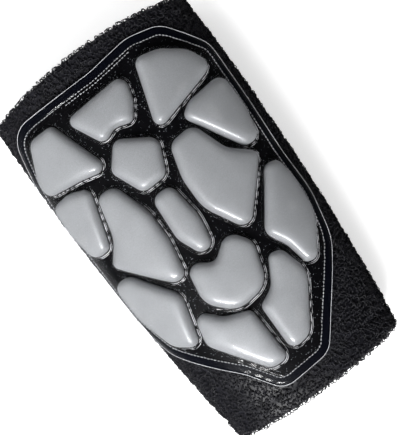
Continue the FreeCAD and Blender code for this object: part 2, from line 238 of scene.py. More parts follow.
# ------------------------------------------------------------------ the sleeve's form
@dataclass
class SleeveForm:
    """The shape that the sleeve lies in: rounded sections that change smoothly along the arm.

    Attributes:
        length: along the sleeve's sides, before the ends' bow is put on.
        crest: how far the middle of each end stands out beyond that length.
        bows: how far the forearm and upper-arm ends bow out from corners to middle.
        half_widths: at the upper arm, at mid length and at the forearm.
        crowns: height of the crown above the widest line, at the same three places.
        lying_height: of the widest line above the floor.
        depth: of the section below the widest line, before the floor presses it flat.
        crown_power: squareness above the widest line.
        base_power: squareness below it.
        reach: the furthest distance round the sleeve that is measured.
        step: one measured distance to the next.
        fineness: points measured round half of each section.
        stations: places along the arm whose sections are measured.
    """

    length: float = 231.0
    crest: float = 2.3
    bows: tuple[float, float] = (2.3, 8.0)
    half_widths: tuple[float, float, float] = (66.5, 66.3, 57.0)
    crowns: tuple[float, float, float] = (41.0, 40.0, 35.0)
    lying_height: float = 25.0
    depth: float = 25.8
    crown_power: float = 2.3
    base_power: float = 3.0
    reach: float = 190.0
    step: float = 0.25
    fineness: int = 1801
    stations: Array = field(default_factory=lambda: np.linspace(-150, 150, 61))

    def __post_init__(self) -> None:
        """Measures round the section at each station."""
        turn = np.linspace(0, np.pi, self.fineness)
        self.across = np.arange(0, self.reach, self.step)
        turns, walks = [], []
        for along in self.stations:
            line = self.section(np.pi / 2 - turn, np.full_like(turn, along), 0)[0]
            steps = np.linalg.norm(np.diff(line, axis=0), axis=1)
            walked = np.concatenate([[0], np.cumsum(steps)])
            walks.append(walked)
            turns.append(np.interp(self.across, walked, turn))
        self.turns, self.walks = np.array(turns), np.array(walks)
        self.half_girth = self.walks[:, -1]

    def through(self, along: Array, values: tuple[float, float, float]) -> Array:
        """A size that changes smoothly along the arm.

        Args:
            along: places along the arm.
            values: the size at the upper arm, at mid length and at the forearm.

        Returns:
            The size at each place.
        """
        upper, middle, forearm = values
        part = along / (self.length / 2)
        slope, curve = (upper - forearm) / 2, (upper + forearm) / 2 - middle
        return middle + slope * part + curve * part ** 2

    def section(self, angle: Array, along: Array, outward: Array | float) -> tuple[Array, Array]:
        """Points of the section and the directions out of it.

        Args:
            angle: 0 is +X and a quarter turn is up.
            along: place along the arm, in mm.
            outward: distance out from the terry, in mm.

        Returns:
            The points and the outward directions, one row each.
        """
        half, crown = self.through(along, self.half_widths), self.through(along, self.crowns)
        cos, sin = np.cos(angle), np.sin(angle)
        power = np.where(sin >= 0, self.crown_power, self.base_power)
        rise = np.where(sin >= 0, crown, self.depth)
        radius = (np.abs(cos / half) ** power + np.abs(sin / rise) ** power) ** (-1 / power)
        x, z = radius * cos, radius * sin
        out_x = np.sign(x) * np.abs(x / half) ** (power - 1) / half
        out_z = np.sign(z) * np.abs(z / rise) ** (power - 1) / rise
        size = np.hypot(out_x, out_z)
        out = np.stack([out_x / size, np.zeros_like(x), out_z / size], axis=-1)
        base = np.stack([x, np.broadcast_to(along, x.shape), self.lying_height + z], axis=-1)
        return base + out * np.asarray(outward)[..., None], out

    def read(self, grid: Array, along: Array, column: Array) -> Array:
        """A value from a table with one row for each station.

        Args:
            grid: the table.
            along: places along the arm.
            column: where in each row to read, between whole columns too.

        Returns:
            The values.
        """
        place = np.clip((along - self.stations[0]) / (self.stations[1] - self.stations[0]),
                        0, len(self.stations) - 1.001)
        column = np.clip(column, 0, grid.shape[1] - 1.001)
        row, first = place.astype(int), column.astype(int)
        part, rest = place - row, column - first
        near = grid[row, first] * (1 - rest) + grid[row, first + 1] * rest
        far = grid[row + 1, first] * (1 - rest) + grid[row + 1, first + 1] * rest
        return near * (1 - part) + far * part

    def angle(self, across: Array, along: Array) -> Array:
        """The section angle at a distance round the sleeve from its crown line."""
        turn = self.read(self.turns, along, np.abs(across) / self.step)
        return np.pi / 2 - np.sign(across) * turn

    def cover(self, flat: Array, height: Array | float) -> Array:
        """Points in mm at (across, along) rows and a height above the terry."""
        return self.section(self.angle(flat[:, 0], flat[:, 1]), flat[:, 1], height)[0]

    def flatten(self, points: Array) -> tuple[Array, Array]:
        """The inverse of cover.

        Args:
            points: in mm, one row each.

        Returns:
            The (across, along) rows, and the heights.
        """
        along = points[:, 1]
        angle = np.arctan2(points[:, 2] - self.lying_height, points[:, 0])
        small, rounds = 1e-4, 6
        for _ in range(rounds):
            base, out = self.section(angle, along, 0)
            forward = np.stack([out[:, 2], np.zeros_like(along), -out[:, 0]], axis=1)
            pace = np.linalg.norm(self.section(angle + small, along, 0)[0] - base, axis=1) / small
            angle = angle - np.sum((points - base) * forward, axis=1) / pace
        base, out = self.section(angle, along, 0)
        turn = (np.pi / 2 - angle + np.pi) % (2 * np.pi) - np.pi
        column = np.abs(turn) / np.pi * (self.walks.shape[1] - 1)
        across = np.sign(turn) * self.read(self.walks, along, column)
        return np.stack([across, along], axis=1), np.sum((points - base) * out, axis=1)

    def bow_at(self, x: Array, along: Array | float) -> Array:
        """How far the end line on that side stands out, at a distance from its middle."""
        bow = np.where(np.asarray(along) > 0, self.bows[1], self.bows[0])
        return self.crest - bow * (x / max(self.half_widths)) ** 2

    def bowed(self, along: Array, x: Array) -> Array:
        """Puts the ends' bow on, over the last quarter of each half.

        Args:
            along: places along the arm.
            x: distances from the middle of the sleeve, in mm.

        Returns:
            The places moved along the arm.
        """
        share = np.clip(np.abs(along) / (self.length / 2) * 4 - 3, 0, 1)
        return along + np.sign(along) * self.bow_at(x, along) * share


# ------------------------------------------------------------------ outlines on the cover
class Outline:
    """A closed outline on the developed cover, counter-clockwise, in mm."""

    UNDERSIDE = 0.12  # how far above its lowest point a plate's underside may reach
    TRUE_NEAR = 0.5  # depth up to which the soft depth is the true one
    BLEND = 0.8  # depth over which the one goes over into the other
    FINE = 0.3  # spacing of the points that the soft depth is summed over

    def __init__(self, points: Array) -> None:
        """Keeps the points and the outward directions.

        Args:
            points: (across, along) rows, in order.
        """
        self.points = points
        ahead, behind = np.roll(points, -1, 0), np.roll(points, 1, 0)
        along = ahead - behind
        along /= np.linalg.norm(along, axis=1, keepdims=True)
        self.outward = np.stack([along[:, 1], -along[:, 0]], axis=1)
        self.low, self.high = points.min(0), points.max(0)

    @classmethod
    def of_node(cls, node: str, form: SleeveForm, spacing: float) -> "Outline":
        """The edge of a CAD plate's underside.

        Args:
            node: the CAD node.
            form: the sleeve that the plate lies on.
            spacing: distance between the outline's points, in mm.

        Returns:
            The smoothed outline.
        """
        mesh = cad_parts[node].data
        places = np.empty(len(mesh.vertices) * 3)
        mesh.vertices.foreach_get("co", places)
        flat, height = form.flatten(places.reshape(-1, 3) / MM)
        floor = height.min() + cls.UNDERSIDE
        joined = np.unique(np.round(flat, 2), axis=0, return_inverse=True)[1].reshape(-1)
        used: dict[tuple[int, int], tuple[int, int]] = {}
        for polygon in mesh.polygons:
            corners = list(polygon.vertices)
            if max(height[corner] for corner in corners) < floor:
                for start, end in zip(corners, corners[1:] + corners[:1]):
                    used[(joined[start], joined[end])] = (start, end)
        after = {way[0]: (way[1], pair[1]) for way, pair in used.items() if way[::-1] not in used}
        first = here = next(iter(after))
        chain = []
        while True:
            here, vertex = after[here]
            chain.append(flat[vertex])
            if here == first:
                break
        line = cls.resampled(np.array(chain), spacing / 2)
        line = (np.roll(line, 1, 0) + 2 * line + np.roll(line, -1, 0)) / 4
        return cls(cls.resampled(line, spacing))

    @staticmethod
    def resampled(line: Array, spacing: float) -> Array:
        """A closed line with its points evenly spaced.

        Args:
            line: the line's points in order, either way round.
            spacing: distance between the new points, in mm.

        Returns:
            The new points, counter-clockwise.
        """
        x, y = line[:, 0], line[:, 1]
        if np.sum(x * np.roll(y, -1) - np.roll(x, -1) * y) < 0:
            line = line[::-1]
        closed = np.vstack([line, line[:1]])
        walked = np.concatenate([[0], np.cumsum(np.linalg.norm(np.diff(closed, axis=0), axis=1))])
        count = max(12, int(round(walked[-1] / spacing)))
        at = np.linspace(0, walked[-1], count, endpoint=False)
        return np.stack([np.interp(at, walked, closed[:, axis]) for axis in (0, 1)], axis=1)

    def moved(self, distance: float) -> Array:
        """The outline's points moved outward, or inward for a negative distance."""
        return self.points + self.outward * distance

    def depth(self, spots: Array) -> Array:
        """Distance inside the outline.

        Args:
            spots: (across, along) rows.

        Returns:
            The distances, negative outside.
        """
        least_rise = 1e-12
        start, end = self.points, np.roll(self.points, -1, 0)
        run = end - start
        result = np.empty(len(spots))
        for low in range(0, len(spots), BLOCK):
            some = spots[low:low + BLOCK]
            gap = some[:, None, :] - start[None]
            part = np.clip(np.sum(gap * run, axis=2) / np.sum(run * run, axis=1), 0, 1)
            away = gap - part[..., None] * run
            nearest = np.sqrt(np.min(np.sum(away * away, axis=2), axis=1))
            crosses = (start[:, 1] > some[:, 1:2]) != (end[:, 1] > some[:, 1:2])
            rise = np.where(np.abs(run[:, 1]) < least_rise, least_rise, run[:, 1])
            at = start[:, 0] + (some[:, 1:2] - start[:, 1]) * run[:, 0] / rise
            inside = np.sum(crosses & (some[:, :1] < at), axis=1) % 2 == 1
            result[low:low + BLOCK] = np.where(inside, nearest, -nearest)
        return result

    def soft_depth(self, spots: Array, grown: float) -> Array:
        """A distance inside the outline that has no crease anywhere.

        Args:
            spots: (across, along) rows.
            grown: how far the outline is first moved outward.

        Returns:
            The distances, negative outside.
        """
        true = self.depth(spots) + grown
        inner = true > self.TRUE_NEAR
        soft = true.copy()
        line = self.resampled(self.moved(grown), self.FINE)
        length = np.linalg.norm(line - np.roll(line, 1, 0), axis=1)
        some = spots[inner]
        total = np.empty(len(some))
        for low in range(0, len(some), BLOCK):
            gap = some[low:low + BLOCK, None, :] - line[None]
            total[low:low + BLOCK] = np.sum(length / np.sum(gap * gap, axis=2) ** 2, axis=1)
        smooth = (2 * total / np.pi) ** (-1 / 3)
        share = np.clip((true[inner] - self.TRUE_NEAR) / self.BLEND, 0, 1)
        soft[inner] = true[inner] * (1 - share) + smooth * share
        return soft

    def ring_inside(self, inset: float, slack: float) -> Array:
        """The outline moved inward, without points that come nearer to another part of it."""
        ring = self.moved(-inset)
        return ring[np.abs(self.depth(ring) - inset) < slack]

    def near(self, spots: Array, margin: float) -> Array:
        """Which spots are in the outline's box or within a margin of it."""
        return np.all((spots > self.low - margin) & (spots < self.high + margin), axis=1)


def hex_spots(low: Array, high: Array, pitch: float) -> Array:
    """A triangular grid that fills a box.

    Args:
        low: the box's lower corner, (across, along).
        high: its upper corner.
        pitch: one spot to the next, in mm.

    Returns:
        (across, along) rows.
    """
    rows = np.arange(low[1], high[1], pitch * math.sqrt(3) / 2)
    columns = np.arange(low[0], high[0], pitch)
    shift = np.where(np.arange(len(rows)) % 2, pitch / 2, 0)
    x = columns[None, :] + shift[:, None]
    return np.stack([x.reshape(-1), np.repeat(rows, len(columns))], axis=1)


# ------------------------------------------------------------------ finishes
def new_material(name: str) -> tuple[bpy.types.Material, bpy.types.Nodes, Links, bpy.types.Node]:
    """A node material with its Principled shader.

    Args:
        name: the material's name.

    Returns:
        The material, its nodes, its links and the shader.
    """
    material = bpy.data.materials.new(name)
    material.use_nodes = True
    nodes, links = material.node_tree.nodes, material.node_tree.links
    return material, nodes, links, nodes["Principled BSDF"]


def new_group(name: str, inputs: dict[str, float], outputs: dict[str, str],
              ) -> tuple[bpy.types.NodeTree, bpy.types.Node, bpy.types.Node]:
    """An empty shader node group.

    Args:
        name: the group's name.
        inputs: number inputs and their defaults.
        outputs: output names and their socket types.

    Returns:
        The group, its input node and its output node.
    """
    group = bpy.data.node_groups.new(name, "ShaderNodeTree")
    for label, value in inputs.items():
        socket = group.interface.new_socket(label, in_out="INPUT", socket_type="NodeSocketFloat")
        socket.default_value = value
    for label, kind in outputs.items():
        group.interface.new_socket(label, in_out="OUTPUT", socket_type=kind)
    return group, group.nodes.new("NodeGroupInput"), group.nodes.new("NodeGroupOutput")


def math_node(nodes: bpy.types.Nodes, links: Links, kind: str, *values: Socket | float) -> Socket:
    """A Math node.

    Args:
        nodes: the tree's nodes.
        links: the tree's links.
        kind: its operation.
        values: a socket or a number for each of its inputs.

    Returns:
        Its output.
    """
    node = nodes.new("ShaderNodeMath")
    node.operation = kind
    for place, value in enumerate(values):
        if isinstance(value, (int, float)):
            node.inputs[place].default_value = value
        else:
            links.new(value, node.inputs[place])
    return node.outputs[0]


def place_group(nodes: bpy.types.Nodes, group: bpy.types.NodeTree,
                **values: float) -> bpy.types.Node:
    """Puts a node group in a material.

    Args:
        nodes: the material's nodes.
        group: the group.
        values: its inputs, with the spaces in their names written as underscores.

    Returns:
        The group's node.
    """
    node = nodes.new("ShaderNodeGroup")
    node.node_tree = group
    for label, value in values.items():
        node.inputs[label.replace("_", " ")].default_value = value
    return node


class Effects:
    """The effects that several finishes share, each one node group."""

    def __init__(self) -> None:
        """Builds the groups once."""
        self.grain = self.build_grain()
        self.specks = self.build_glint_specks()
        self.rib = self.build_rib()

    @staticmethod
    def build_grain() -> bpy.types.NodeTree:
        """Fine moulded grain with slow cloudy variation.

        Returns:
            The group, which gives a shade and a height.
        """
        group, enter, leave = new_group(
            "moulded_grain", {"Scale": 1500.0, "Cloud Scale": 60.0, "Depth": 0.1, "Cloud": 0.1},
            {"Shade": "NodeSocketFloat", "Height": "NodeSocketFloat"})
        nodes, links = group.nodes, group.links
        place = nodes.new("ShaderNodeTexCoord").outputs["Object"]
        fine = nodes.new("ShaderNodeTexNoise")
        fine.inputs["Detail"].default_value = 3.0
        cloud = nodes.new("ShaderNodeTexNoise")
        cloud.inputs["Detail"].default_value = 2.0
        for node, label in ((fine, "Scale"), (cloud, "Cloud Scale")):
            links.new(place, node.inputs["Vector"])
            links.new(enter.outputs[label], node.inputs["Scale"])
        small = math_node(nodes, links, "MULTIPLY",
                          math_node(nodes, links, "SUBTRACT", fine.outputs[0], 0.5),
                          enter.outputs["Depth"])
        broad = math_node(nodes, links, "MULTIPLY",
                          math_node(nodes, links, "SUBTRACT", cloud.outputs[0], 0.5),
                          enter.outputs["Cloud"])
        shade = math_node(nodes, links, "ADD", math_node(nodes, links, "ADD", small, broad), 1.0)
        links.new(shade, leave.inputs["Shade"])
        links.new(fine.outputs[0], leave.inputs["Height"])
        return group

    @staticmethod
    def build_glint_specks() -> bpy.types.NodeTree:
        """Scattered tiny specks, where bubbles' glints are painted, and a pebbled height between
        them.

        Returns:
            The group, which gives a mask and a height.
        """
        group, enter, leave = new_group(
            "painted_bubble_glints", {"Scale": 1200.0, "Size": 0.2, "Share": 0.4},
            {"Mask": "NodeSocketFloat", "Height": "NodeSocketFloat"})
        nodes, links = group.nodes, group.links
        place = nodes.new("ShaderNodeTexCoord").outputs["Object"]
        cells = nodes.new("ShaderNodeTexVoronoi")
        links.new(place, cells.inputs["Vector"])
        links.new(enter.outputs["Scale"], cells.inputs["Scale"])
        split = nodes.new("ShaderNodeSeparateColor")
        links.new(cells.outputs["Color"], split.inputs[0])
        chosen = math_node(nodes, links, "LESS_THAN", split.outputs[0], enter.outputs["Share"])
        radius = math_node(nodes, links, "MULTIPLY", enter.outputs["Size"],
                           math_node(nodes, links, "ADD", split.outputs[1], 0.4))
        small = math_node(nodes, links, "LESS_THAN", cells.outputs["Distance"], radius)
        mask = math_node(nodes, links, "MULTIPLY", chosen, small)
        links.new(mask, leave.inputs["Mask"])
        links.new(cells.outputs["Distance"], leave.inputs["Height"])
        return group

    @staticmethod
    def build_rib() -> bpy.types.NodeTree:
        """A fine knitted rib that runs along the arm, with painted shade in its grooves.

        Returns:
            The group, which gives a height and a shade; the shade is painted darker where the
            height is low, in the grooves.
        """
        least_shade, rib_shade, wander = 0.7, 0.5, 1.2
        group, enter, leave = new_group(
            "knit_rib", {"Scale": 700.0, "Course": 500.0},
            {"Height": "NodeSocketFloat", "Shade": "NodeSocketFloat"})
        nodes, links = group.nodes, group.links
        place = nodes.new("ShaderNodeTexCoord").outputs["Object"]
        ribs = nodes.new("ShaderNodeTexWave")
        ribs.bands_direction = "X"
        courses = nodes.new("ShaderNodeTexWave")
        courses.bands_direction = "Y"
        for node, label in ((ribs, "Scale"), (courses, "Course")):
            node.inputs["Distortion"].default_value = wander
            links.new(place, node.inputs["Vector"])
            links.new(enter.outputs[label], node.inputs["Scale"])
        height = math_node(nodes, links, "MULTIPLY", ribs.outputs["Fac"], courses.outputs["Fac"])
        # Painted shade: the colour follows the rib's height and is darkest in its grooves.
        shade = math_node(nodes, links, "MULTIPLY", height, rib_shade)
        shade = math_node(nodes, links, "ADD", shade, least_shade)
        links.new(height, leave.inputs["Height"])
        links.new(shade, leave.inputs["Shade"])
        return group


def shaded(nodes: bpy.types.Nodes, links: Links, colour: tuple[float, float, float],
           shade: Socket) -> Socket:
    """A colour multiplied by a shade that changes over the surface.

    Args:
        nodes: the material's nodes.
        links: the material's links.
        colour: the colour.
        shade: what it is multiplied by.

    Returns:
        The shaded colour.
    """
    mix = nodes.new("ShaderNodeVectorMath")
    mix.operation = "SCALE"
    mix.inputs[0].default_value = colour
    links.new(shade, mix.inputs["Scale"])
    return mix.outputs[0]


def bump(nodes: bpy.types.Nodes, links: Links, shader: bpy.types.Node, height: Socket,
         strength: float, distance: float) -> None:
    """Puts a bump on a shader's normal.

    Args:
        nodes: the material's nodes.
        links: the material's links.
        shader: the shader.
        height: the bump's height, 0 to 1.
        strength: how much of the bump is used.
        distance: its depth, in metres.
    """
    node = nodes.new("ShaderNodeBump")
    node.inputs["Strength"].default_value = strength
    node.inputs["Distance"].default_value = distance
    links.new(height, node.inputs["Height"])
    links.new(node.outputs[0], shader.inputs["Normal"])


def mixed(nodes: bpy.types.Nodes, links: Links, share: Socket, first: Socket,
          second: Socket) -> Socket:
    """Two shaders mixed.

    Args:
        nodes: the material's nodes.
        links: the material's links.
        share: the share of the second one.
        first: the first shader.
        second: the second shader.

    Returns:
        The mixed shader.
    """
    mix = nodes.new("ShaderNodeMixShader")
    for place, source in enumerate((share, first, second)):
        links.new(source, mix.inputs[place])
    return mix.outputs[0]


def ramp(nodes: bpy.types.Nodes, links: Links, value: Socket, span: tuple[float, float],
         ends: tuple[float, float] = (0.0, 1.0), kind: str = "SMOOTHSTEP") -> Socket:
    """A value carried from one span to another, held at its ends.

    Args:
        nodes: the tree's nodes.
        links: the tree's links.
        value: the value.
        span: where it starts and ends.
        ends: what is given there.
        kind: how it changes between them.

    Returns:
        The result.
    """
    node = nodes.new("ShaderNodeMapRange")
    node.interpolation_type = kind
    links.new(value, node.inputs["Value"])
    for label, number in zip(("From Min", "From Max", "To Min", "To Max"), (*span, *ends)):
        node.inputs[label].default_value = number
    return node.outputs[0]


@dataclass(frozen=True)
class SilverPad:
    """Satin silver-grey moulded foam with a fine grain.

    Attributes:
        colour: its base colour.
        roughness: how wide its gloss spreads.
        metallic: how much it shines like its silver pigment.
        grain: scale and depth of its grain.
        cloud: scale and depth of its slow variation.
        relief: strength of the grain's bump, and its depth in metres.
    """

    colour: tuple[float, float, float] = (0.265, 0.27, 0.278)
    roughness: float = 0.42
    metallic: float = 0.15
    grain: tuple[float, float] = (1700.0, 0.5)
    cloud: tuple[float, float] = (70.0, 0.16)
    relief: tuple[float, float] = (0.4, 0.00006)

    def material(self, effects: Effects) -> bpy.types.Material:
        """Builds the material.

        Args:
            effects: the shared effects.

        Returns:
            The material.
        """
        material, nodes, links, shader = new_material("silver_pad")
        grain = place_group(nodes, effects.grain, Scale=self.grain[0], Depth=self.grain[1],
                            Cloud_Scale=self.cloud[0], Cloud=self.cloud[1])
        links.new(shaded(nodes, links, self.colour, grain.outputs["Shade"]),
                  shader.inputs["Base Color"])
        shader.inputs["Roughness"].default_value = self.roughness
        shader.inputs["Metallic"].default_value = self.metallic
        bump(nodes, links, shader, grain.outputs["Height"], *self.relief)
        return material


@dataclass(frozen=True)
class ClearFilm:
    """Clear flexible film with a soft gloss, faintly milky where it is seen along its face.

    Attributes:
        tint: the colour it lets through.
        milk: the colour of its haze.
        haze: the most of its haze.
        haze_blend: how soon the haze comes as the face turns away.
        haze_power: how much the haze keeps to the edges.
        roughness: how wide its gloss spreads.
        ior: its refractive index.
        grain: scales of its fine and slow unevenness.
        relief: strength of their bump, and its depth in metres.
    """

    tint: tuple[float, float, float] = (0.985, 0.988, 0.992)
    milk: tuple[float, float, float] = (0.80, 0.81, 0.83)
    haze: float = 0.35
    haze_blend: float = 0.35
    haze_power: float = 3.0
    roughness: float = 0.12
    ior: float = 1.36
    grain: tuple[float, float] = (500.0, 90.0)
    relief: tuple[float, float] = (0.15, 0.00004)

    def material(self, effects: Effects) -> bpy.types.Material:
        """Builds the material: what is behind shows through, under gloss and a little haze.

        Only the outer face of the film shines, so that the pads aren't mirrored inside it.

        Args:
            effects: the shared effects.

        Returns:
            The material.
        """
        material, nodes, links, haze = new_material("clear_film")
        grain = place_group(nodes, effects.grain, Scale=self.grain[0], Cloud_Scale=self.grain[1])
        haze.inputs["Base Color"].default_value = (*self.milk, 1)
        haze.inputs["Roughness"].default_value = self.roughness
        bump(nodes, links, haze, grain.outputs["Height"], *self.relief)
        gloss = nodes.new("ShaderNodeBsdfGlossy")
        gloss.inputs["Roughness"].default_value = self.roughness
        links.new(haze.inputs["Normal"].links[0].from_socket, gloss.inputs["Normal"])
        clear = nodes.new("ShaderNodeBsdfTransparent")
        clear.inputs[0].default_value = (*self.tint, 1)
        fresnel = nodes.new("ShaderNodeFresnel")
        fresnel.inputs["IOR"].default_value = self.ior
        outside = math_node(nodes, links, "SUBTRACT", 1.0,
                            nodes.new("ShaderNodeNewGeometry").outputs["Backfacing"])
        facing = nodes.new("ShaderNodeLayerWeight")
        facing.inputs["Blend"].default_value = self.haze_blend
        edge = math_node(nodes, links, "POWER", facing.outputs["Facing"], self.haze_power)
        milky = math_node(nodes, links, "MULTIPLY", outside,
                          math_node(nodes, links, "MULTIPLY", edge, self.haze))
        reflects = math_node(nodes, links, "MULTIPLY", outside, fresnel.outputs[0])
        shine = mixed(nodes, links, reflects, clear.outputs[0], gloss.outputs[0])
        whole = mixed(nodes, links, milky, shine, haze.outputs[0])
        links.new(whole, nodes["Material Output"].inputs["Surface"])
        return material


@dataclass(frozen=True)
class Backing:
    """Black backing under the film, with light specks where bubbles are caught under it: real
    bubbles, whose glints are painted into the colour.

    Attributes:
        name: the material's name.
        colour: its base colour.
        speck: the specks' colour, a light grey that paints the bubbles' glints.
        share: the share of cells that hold a speck.
        roughness: how wide its gloss spreads.
        gloss: how strongly it mirrors light.
        cells: how many cells fit in a metre, and a speck's size in its cell.
        relief: strength of the pebbles' bump, and its depth in metres.
    """

    name: str
    colour: tuple[float, float, float]
    speck: tuple[float, float, float] = (0.32, 0.33, 0.36)
    share: float = 0.13
    roughness: float = 0.35
    gloss: float = 0.1
    cells: tuple[float, float] = (1550.0, 0.25)
    relief: tuple[float, float] = (0.5, 0.00015)

    def material(self, effects: Effects) -> bpy.types.Material:
        """Builds the material.

        Args:
            effects: the shared effects.

        Returns:
            The material.
        """
        material, nodes, links, shader = new_material(self.name)
        specks = place_group(nodes, effects.specks, Scale=self.cells[0], Size=self.cells[1],
                             Share=self.share)
        mix = nodes.new("ShaderNodeMix")
        mix.data_type = "RGBA"
        links.new(specks.outputs["Mask"], mix.inputs["Factor"])
        mix.inputs["A"].default_value = (*self.colour, 1)
        mix.inputs["B"].default_value = (*self.speck, 1)
        links.new(mix.outputs["Result"], shader.inputs["Base Color"])
        shader.inputs["Roughness"].default_value = self.roughness
        shader.inputs["Specular IOR Level"].default_value = self.gloss
        bump(nodes, links, shader, specks.outputs["Height"], *self.relief)
        return material


@dataclass(frozen=True)
class Yarn:
    """Matt yarn: terry loops, knit or sewing thread.

    Attributes:
        name: the material's name.
        colour: its base colour.
        roughness: how wide its gloss spreads.
        sheen: the soft light of its fibres.
        gloss: how strongly it mirrors light.
        ribbed: whether it is knitted in ribs.
        fuzz: how wide the fibres' light spreads.
        relief: strength of its bump.
        depths: depth of the bump in metres, plain and ribbed.
    """

    name: str
    colour: tuple[float, float, float]
    roughness: float = 0.62
    sheen: float = 0.25
    gloss: float = 0.5
    ribbed: bool = False
    fuzz: float = 0.4
    relief: float = 0.6
    depths: tuple[float, float] = (0.00012, 0.0004)

    def material(self, effects: Effects) -> bpy.types.Material:
        """Builds the material.

        Args:
            effects: the shared effects.

        Returns:
            The material.
        """
        material, nodes, links, shader = new_material(self.name)
        if self.ribbed:
            pattern = place_group(nodes, effects.rib)
        else:
            pattern = place_group(nodes, effects.grain, Scale=2600.0, Cloud_Scale=140.0,
                                  Depth=1.1, Cloud=1.2)
        links.new(shaded(nodes, links, self.colour, pattern.outputs["Shade"]),
                  shader.inputs["Base Color"])
        shader.inputs["Roughness"].default_value = self.roughness
        shader.inputs["Specular IOR Level"].default_value = self.gloss
        shader.inputs["Sheen Weight"].default_value = self.sheen
        shader.inputs["Sheen Roughness"].default_value = self.fuzz
        bump(nodes, links, shader, pattern.outputs["Height"], self.relief,
             self.depths[self.ribbed])
        return material


